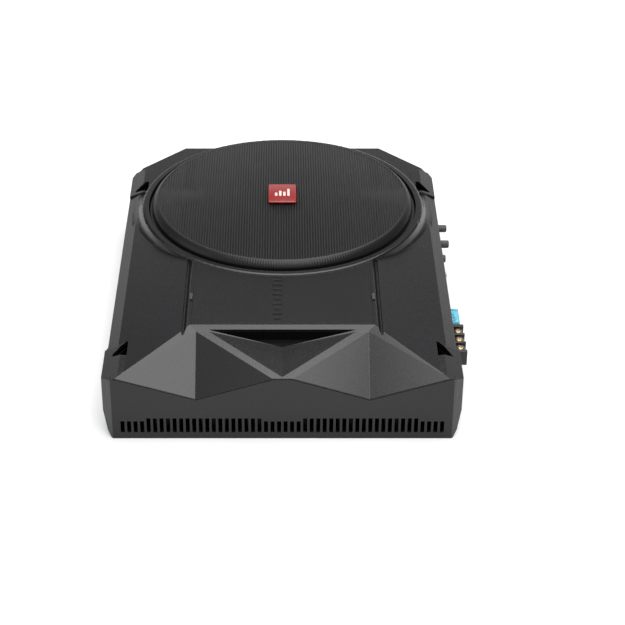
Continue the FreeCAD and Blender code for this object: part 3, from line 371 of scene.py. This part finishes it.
def rounded_block(low, high, radius, steps=3):
    """A bmesh box between two corners with rounded edges."""
    mesh = bmesh.new()
    bmesh.ops.create_cube(mesh, size=1.0)
    size = high - low
    middle = (high + low) / 2
    for vertex in mesh.verts:
        vertex.co = Vector(part * length for part, length in zip(vertex.co, size)) + middle
    bmesh.ops.bevel(mesh, geom=mesh.edges[:], offset=radius, segments=steps, profile=0.5,
                    affect="EDGES", clamp_overlap=True)
    return mesh


def merged(meshes):
    """Several bmeshes as one."""
    whole = bmesh.new()
    for part in meshes:
        data = bpy.data.meshes.new("part")
        part.to_mesh(data)
        part.free()
        whole.from_mesh(data)
        bpy.data.meshes.remove(data)
    return whole


def carved(mesh, tools):
    """The bmesh with the tool bmeshes cut out of it."""
    items = []
    for part in [mesh] + list(tools):
        bmesh.ops.recalc_face_normals(part, faces=part.faces)
        data = bpy.data.meshes.new("carving")
        part.to_mesh(data)
        part.free()
        items.append(placed("carving", data))
    body = items[0]
    for tool in items[1:]:
        modifier = body.modifiers.new("cut", "BOOLEAN")
        modifier.operation = "DIFFERENCE"
        modifier.solver = "EXACT"
        modifier.object = tool
    whole = evaluated(body)
    for item in items:
        bpy.data.meshes.remove(item.data)
    return whole


def tube(points, radius):
    """A bmesh tube along a smooth curve through a few points."""
    data = bpy.data.curves.new("path", "CURVE")
    data.dimensions = "3D"
    data.bevel_depth = radius
    data.bevel_resolution = 2
    data.use_fill_caps = True
    spline = data.splines.new("BEZIER")
    spline.bezier_points.add(len(points) - 1)
    for knot, place in zip(spline.bezier_points, points):
        knot.co = place
        knot.handle_left_type = "AUTO"
        knot.handle_right_type = "AUTO"
    spline.resolution_u = 12
    whole = evaluated(placed("path", data))
    bpy.data.curves.remove(data)
    bmesh.ops.remove_doubles(whole, verts=whole.verts, dist=WELD_DISTANCE)
    return whole


def about_driver(reach, angle, height):
    """A point on a circle about the driver's upright axis."""
    return (DRIVER_X + reach * math.cos(angle), DRIVER_Y + reach * math.sin(angle), height)


# ---------------------------------------------------------------- grille and badge

RIB_PITCH = 2.0 * MM
RIB_DEPTH = 0.7 * MM
RIB_SAMPLES = 6
SLOT_HALF_SHARE = 0.2
SLOT_SHARPNESS = 9.0
DOME_DROP = 4.1 * MM
RIM_WIDTH = 4.1 * MM
BAND_DROP = 8.9 * MM
GRILLE_LOW, GRILLE_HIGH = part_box("grille")
GRILLE_RADIUS = (GRILLE_HIGH.x - GRILLE_LOW.x) / 2
DOME_RADIUS = GRILLE_RADIUS - RIM_WIDTH
FIELD_RADIUS = DOME_RADIUS - 1.0 * MM


def dome_height(radius):
    """The cap's height above the floor at a distance from its middle."""
    return GRILLE_HIGH.z - DOME_DROP * (radius / DOME_RADIUS) ** 2


def rib_drop(x):
    """How far the surface sinks between two ribs."""
    across = abs((x / RIB_PITCH) % 1.0 - 0.5)
    return RIB_DEPTH * 0.5 * (1.0 - math.tanh(SLOT_SHARPNESS * (across - SLOT_HALF_SHARE)))


def grille_cap():
    """The crowned cap with its fine ribs from front to back. The slots between them are
    shallower at its left and right ends."""
    columns = 2 * int(FIELD_RADIUS / RIB_PITCH * RIB_SAMPLES)
    rows = 60
    base = dome_height(FIELD_RADIUS) - 2.0 * MM
    inset = 0.9995
    fade = 4.0
    mesh = bmesh.new()
    grid = []
    for column in range(columns + 1):
        x = FIELD_RADIUS * (2.0 * column / columns - 1.0) * inset
        reach = math.sqrt(FIELD_RADIUS ** 2 - x ** 2)
        line = []
        for row in range(rows + 1):
            y = -reach * math.cos(math.pi * row / rows)
            drop = rib_drop(x) * min(1.0, abs(y) / FIELD_RADIUS * fade + reach / FIELD_RADIUS)
            height = dome_height(math.hypot(x, y)) - drop
            line.append(mesh.verts.new((DRIVER_X + x, DRIVER_Y + y, height)))
        grid.append(line)
    for first, second in zip(grid, grid[1:]):
        for row in range(rows):
            mesh.faces.new((first[row], second[row], second[row + 1], first[row + 1]))
    border = [line[0] for line in grid] + grid[-1][1:] + [line[-1] for line in reversed(grid[:-1])]
    border += list(reversed(grid[0][1:-1]))
    foot = [mesh.verts.new((vertex.co.x, vertex.co.y, base)) for vertex in border]
    join_sections(mesh, [border, foot])
    mesh.faces.new(foot)
    piece("grille_cap", mesh, "grille_steel", "case", ["grille"], smooth=50)


def grille_band():
    """The rounded band round the cap. The ribs run on over its front and back."""
    top = dome_height(FIELD_RADIUS)
    edge = dome_height(DOME_RADIUS)
    low = GRILLE_HIGH.z - BAND_DROP
    crown_height = 0.45 * MM
    crown_steps = 8
    skin = 1.8 * MM
    profile = [
        (FIELD_RADIUS - 1.5 * MM, top - 1.6 * MM),
        (FIELD_RADIUS - 0.6 * MM, top - 0.25 * MM),
        (FIELD_RADIUS, top + 0.02 * MM),
        (DOME_RADIUS, edge),
    ]
    for step in range(1, crown_steps + 1):
        share = step / crown_steps
        crown = crown_height * math.sin(math.pi * share)
        reach = DOME_RADIUS + RIM_WIDTH * share + crown * 0.4
        profile.append((reach, edge - (edge - low) * share + crown))
    profile += [
        (GRILLE_RADIUS, GRILLE_LOW.z + 0.5 * MM),
        (GRILLE_RADIUS - 0.5 * MM, GRILLE_LOW.z),
        (GRILLE_RADIUS - skin, GRILLE_LOW.z),
        (GRILLE_RADIUS - skin, low),
        (FIELD_RADIUS - 1.5 * MM, top - 3.0 * MM),
    ]

    smooth_sides = 0.35

    def ribs(angle, _height):
        x = GRILLE_RADIUS * math.cos(angle)
        facing = max(0.0, abs(math.sin(angle)) - smooth_sides)
        return 1.0 - 0.5 * rib_drop(x) * facing / GRILLE_RADIUS

    mesh = turned(profile, 1920, about_driver, ribs, closed=True)
    piece("grille_band", mesh, "grille_steel", "case", smooth=60)


def badge_pieces():
    """A red plate with bevelled edges and four raised bars with rounded ends."""
    low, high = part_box("badge_plate")
    piece("badge_block", rounded_block(low, high, 1.1 * MM, 3), "badge_red", "case",
          ["badge_plate"], smooth=50)
    low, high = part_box("badge_mark")
    lengths = (5.0 * MM, 8.0 * MM, 6.5 * MM, 11.0 * MM)
    width = 2.0 * MM
    pitch = (high.x - low.x - width) / (len(lengths) - 1)
    bars = []
    for column, length in enumerate(lengths):
        left = low.x + pitch * column
        bar_low = Vector((left, low.y, low.z - 0.2 * MM))
        bar_high = Vector((left + width, low.y + length, high.z))
        bars.append(rounded_block(bar_low, bar_high, 0.2 * MM, 2))
    piece("badge_bars", merged(bars), "badge_white", "case", ["badge_mark"], smooth=40)


# ---------------------------------------------------------------- suspension

def sector(outline, start, sweep):
    """A bmesh slice of a ring: a closed outline of (radius, height) pairs swept about the driver."""
    steps = 6
    mesh = bmesh.new()
    sections = []
    for step in range(steps + 1):
        angle = start + sweep * step / steps
        ring = [mesh.verts.new(about_driver(reach, angle, height)) for reach, height in outline]
        sections.append(ring)
    join_sections(mesh, sections)
    cap_ends(mesh, sections)
    return mesh


def flexing_ring(name, node, slot, outline, count):
    """A soft ring in slices, each a loose piece lying between the case and the cone."""
    sweep = 2 * math.pi / count
    for number in range(count):
        start = sweep * number
        mesh = sector(outline, start, sweep)
        item = loose_piece(f"{name}_{number + 1:02d}", mesh, slot, [node], 50)
        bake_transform(item)


def surround_roll():
    """The half roll of rubber between the basket and the cone."""
    low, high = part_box("surround")
    outer = (high.x - low.x) / 2
    skin = 0.9 * MM
    lip = 1.4 * MM
    width = 16.3 * MM
    inner = outer - width
    middle = (outer + inner) / 2 + 0.15 * MM
    half = outer - lip - middle
    rise = high.z - low.z - skin

    arc_steps = 16

    def arc(span, height):
        turns = (math.pi * step / arc_steps for step in range(1, arc_steps))
        return [(middle - span * math.cos(turn), low.z + height * math.sin(turn)) for turn in turns]

    outline = [(inner, low.z), (middle - half + skin, low.z)]
    outline += arc(half - skin, rise)
    outline += [(middle + half - skin, low.z), (outer, low.z), (outer, low.z + skin)]
    outline += [(reach, height + skin) for reach, height in reversed(arc(half, rise))]
    outline += [(inner, low.z + skin)]
    flexing_ring("surround_slice", "surround", "surround_rubber", outline, 24)


def spider_waves():
    """The corrugated cloth disc that centres the coil."""
    low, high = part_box("spider")
    outer = (high.x - low.x) / 2
    inner = 18.9 * MM
    cloth = 0.5 * MM
    swing = 0.9 * MM
    waves = 5
    level = (low.z + high.z) / 2
    flat = 4.0 * MM
    steps = 40
    line = []
    for step in range(steps + 1):
        reach = inner + (outer - flat - inner) * step / steps
        line.append((reach, level + swing * math.sin(2 * math.pi * waves * step / steps)))
    line.append((outer, level))
    outline = [(reach, height - cloth / 2) for reach, height in line]
    outline += [(reach, height + cloth / 2) for reach, height in reversed(line)]
    flexing_ring("spider_slice", "spider", "spider_cloth", outline, 12)


def braided_leads():
    """The two braided leads from the basket's terminals to the cone."""
    low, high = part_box("lead_wires")
    radius = 0.8 * MM
    at_terminal, lowest, rising, at_cone = (height * MM for height in (38.5, 35.8, 41.0, 46.2))
    for side, label in ((-1, "left"), (1, "right")):
        points = [
            (side * 7.0 * MM, low.y + 0.1 * MM, at_terminal),
            (side * 7.5 * MM, DRIVER_Y - 76.0 * MM, lowest),
            (side * 8.0 * MM, DRIVER_Y - 64.0 * MM, rising),
            (side * 8.0 * MM, high.y - 0.3 * MM, at_cone),
        ]
        item = loose_piece(f"{label}_lead", tube(points, radius), "lead_braid", ["lead_wires"], 50)
        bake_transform(item)


# ---------------------------------------------------------------- side controls

def knob(node):
    """A turned knob with a knurled grip, a rounded end and a pointer bar."""
    low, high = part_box(node)
    centre_y = (low.y + high.y) / 2
    centre_z = (low.z + high.z) / 2
    grip = (high.y - low.y) / 2
    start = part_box("control_panel")[1].x + 1.2 * MM
    shaft = 1.5 * MM
    flutes = 20
    flute_depth = 0.035
    profile = [
        (shaft, low.x),
        (shaft, start),
        (grip * 0.93, start),
        (grip, start + 0.4 * MM),
        (grip, high.x - 1.0 * MM),
        (grip * 0.93, high.x - 0.35 * MM),
        (grip * 0.78, high.x - 0.05 * MM),
    ]

    def about_shaft(reach, angle, x):
        return (x, centre_y + reach * math.cos(angle), centre_z + reach * math.sin(angle))

    def knurl(angle, x):
        inside = start < x < high.x - 0.5 * MM
        return 1.0 - flute_depth * (1.0 + math.cos(flutes * angle)) if inside else 0.98

    mesh = turned(profile, 160, about_shaft, knurl)
    piece(node + "_turned", mesh, "knob_grey", node, [node], smooth=35)
    bar_low = Vector((high.x - 0.3 * MM, centre_y - 0.3 * MM, centre_z + grip * 0.15))
    bar_high = Vector((high.x, centre_y + 0.3 * MM, centre_z + grip * 0.8))
    piece(node + "_pointer", rounded_block(bar_low, bar_high, 0.1 * MM, 2), "slider_white", node)


def terminal_screw(node):
    """A brass screw with a domed head and a cross recess."""
    low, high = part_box(node)
    centre = (low + high) / 2
    head = (high.y - low.y) / 2
    shank = 1.9 * MM
    under = high.z - 1.9 * MM
    slot_half = 0.42 * MM
    profile = [(shank * 0.8, low.z), (shank, low.z + 0.3 * MM)]
    turns = 5
    pitch = (under - low.z - 0.4 * MM) / turns
    for turn in range(turns):
        base = low.z + 0.3 * MM + pitch * turn
        profile += [(shank * 0.86, base + pitch * 0.5), (shank, base + pitch)]
    profile += [(shank, under), (head * 0.97, under), (head, under + 0.3 * MM)]
    for step in range(1, 7):
        turn = math.radians(14.0 * step)
        profile.append((head * math.cos(turn), under + 0.4 * MM + 1.5 * MM * math.sin(turn)))

    def about_screw(reach, angle, height):
        return (centre.x + reach * math.cos(angle), centre.y + reach * math.sin(angle), height)

    tools = []
    for length, width in ((head * 0.62, slot_half), (slot_half, head * 0.62)):
        reach = Vector((length, width, 0.0))
        tools.append(rounded_block(
            Vector((centre.x, centre.y, high.z - 1.0 * MM)) - reach,
            Vector((centre.x, centre.y, high.z + 1.0 * MM)) + reach, 0.12 * MM, 2))
    mesh = carved(turned(profile, 48, about_screw), tools)
    piece(node + "_turned", mesh, "terminal_brass", node, [node], smooth=35)


def fuse_link():
    """The thin metal link that shows through the fuse's clear body."""
    low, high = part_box("fuse_body")
    middle = (low + high) / 2
    half = 5.5 * MM
    depth = 4.2 * MM
    swing = 1.6 * MM
    steps = 24
    path = []
    for step in range(steps + 1):
        share = step / steps
        x = high.x - depth + swing * math.sin(2 * math.pi * share)
        path.append(Vector((x, middle.y + half * (2 * share - 1), middle.z)))
    mesh = bmesh.new()
    rows = []
    for point in path:
        rows.append([
            mesh.verts.new(point + Vector((dx * 0.7 * MM, 0, dz * 0.15 * MM)))
            for dx, dz in ((-1, -1), (1, -1), (1, 1), (-1, 1))
        ])
    join_sections(mesh, rows)
    cap_ends(mesh, rows)
    piece("fuse_link", mesh, "tin_plate", "fuse", smooth=40)


# ---------------------------------------------------------------- studio

FLOOR_GLOW = 0.3
FLOOR_GAP = 0.2 * MM
SURROUND_GLOW = 0.15
DOWN = (0.0, 0.0, -1.0)
CAMERA_PLACE = (0.0, -1.19024, 0.74884)
CAMERA_TILT = 57.645
CAMERA_LENS = 103.8
CAMERA_SHIFT = 0.0483


def area_light(name, place, facing, size, radiance):
    """A rectangular soft box that faces along a direction."""
    data = bpy.data.lights.new(name, "AREA")
    data.shape = "RECTANGLE"
    data.size, data.size_y = size
    data.energy = radiance * math.pi * size[0] * size[1]
    lamp = placed(name, data)
    lamp.location = place
    lamp.rotation_euler = Vector(facing).to_track_quat("-Z", "Y").to_euler()


def floor_sheet():
    """The plain pale floor, just under the case."""
    mesh = bmesh.new()
    bmesh.ops.create_grid(mesh, x_segments=2, y_segments=2, size=4.0)
    data = bpy.data.meshes.new("floor")
    mesh.to_mesh(data)
    mesh.free()
    floor = placed("floor", data)
    floor.location.z = -FLOOR_GAP
    paper, tree, shader = blank_material("floor_paper")
    base = mix(tree, remap(tree, noise(tree, 3.0), 0.0, 1.0), (0.59, 0.59, 0.59), (0.61, 0.61, 0.61))
    tree.links.new(base, shader.inputs["Base Color"])
    shader.inputs["Roughness"].default_value = 0.9
    shader.inputs["Specular IOR Level"].default_value = 0.0
    shader.inputs["Emission Color"].default_value = (1.0, 1.0, 1.0, 1.0)
    shader.inputs["Emission Strength"].default_value = FLOOR_GLOW
    data.materials.append(paper)


def studio():
    """One large soft box overhead, weaker ones at the upper left, the back and the left side,
    and a dim surround."""
    floor_sheet()
    area_light("overhead", (0.17, -0.18, 1.05), DOWN, (0.95, 2.05), 5.0)
    area_light("upper_left", (-0.65, 0.0, 1.05), DOWN, (0.65, 1.4), 0.55)
    area_light("back_sheet", (0.0, 2.2, 0.6), (0.0, -1.0, 0.0), (3.5, 0.85), 0.9)
    area_light("left_side", (-1.3, -0.3, 0.6), (1.0, 0.2, -0.4), (0.8, 0.5), 1.8)
    world = bpy.data.worlds.new("surround")
    world.use_nodes = True
    background = world.node_tree.nodes["Background"]
    background.inputs["Color"].default_value = (0.95, 0.97, 1.0, 1.0)
    background.inputs["Strength"].default_value = SURROUND_GLOW
    bpy.context.scene.world = world
    bpy.context.scene.view_settings.view_transform = "Standard"


def camera():
    """The photograph's viewpoint: in front, above, looking down at the case."""
    data = bpy.data.cameras.new("camera")
    data.sensor_width = 36.0
    data.lens = CAMERA_LENS
    data.shift_x = CAMERA_SHIFT
    lens = placed("camera", data)
    lens.location = CAMERA_PLACE
    lens.rotation_euler = (math.radians(CAMERA_TILT), 0.0, 0.0)
    bpy.context.scene.camera = lens


# ---------------------------------------------------------------- build

dress_cad_nodes()
grille_cap()
grille_band()
badge_pieces()
surround_roll()
spider_waves()
braided_leads()
for knob_node in ("level_knob", "crossover_knob", "bass_knob"):
    knob(knob_node)
for number in (1, 2, 3):
    terminal_screw(f"terminal_screw_{number}")
fuse_link()
studio()
camera()
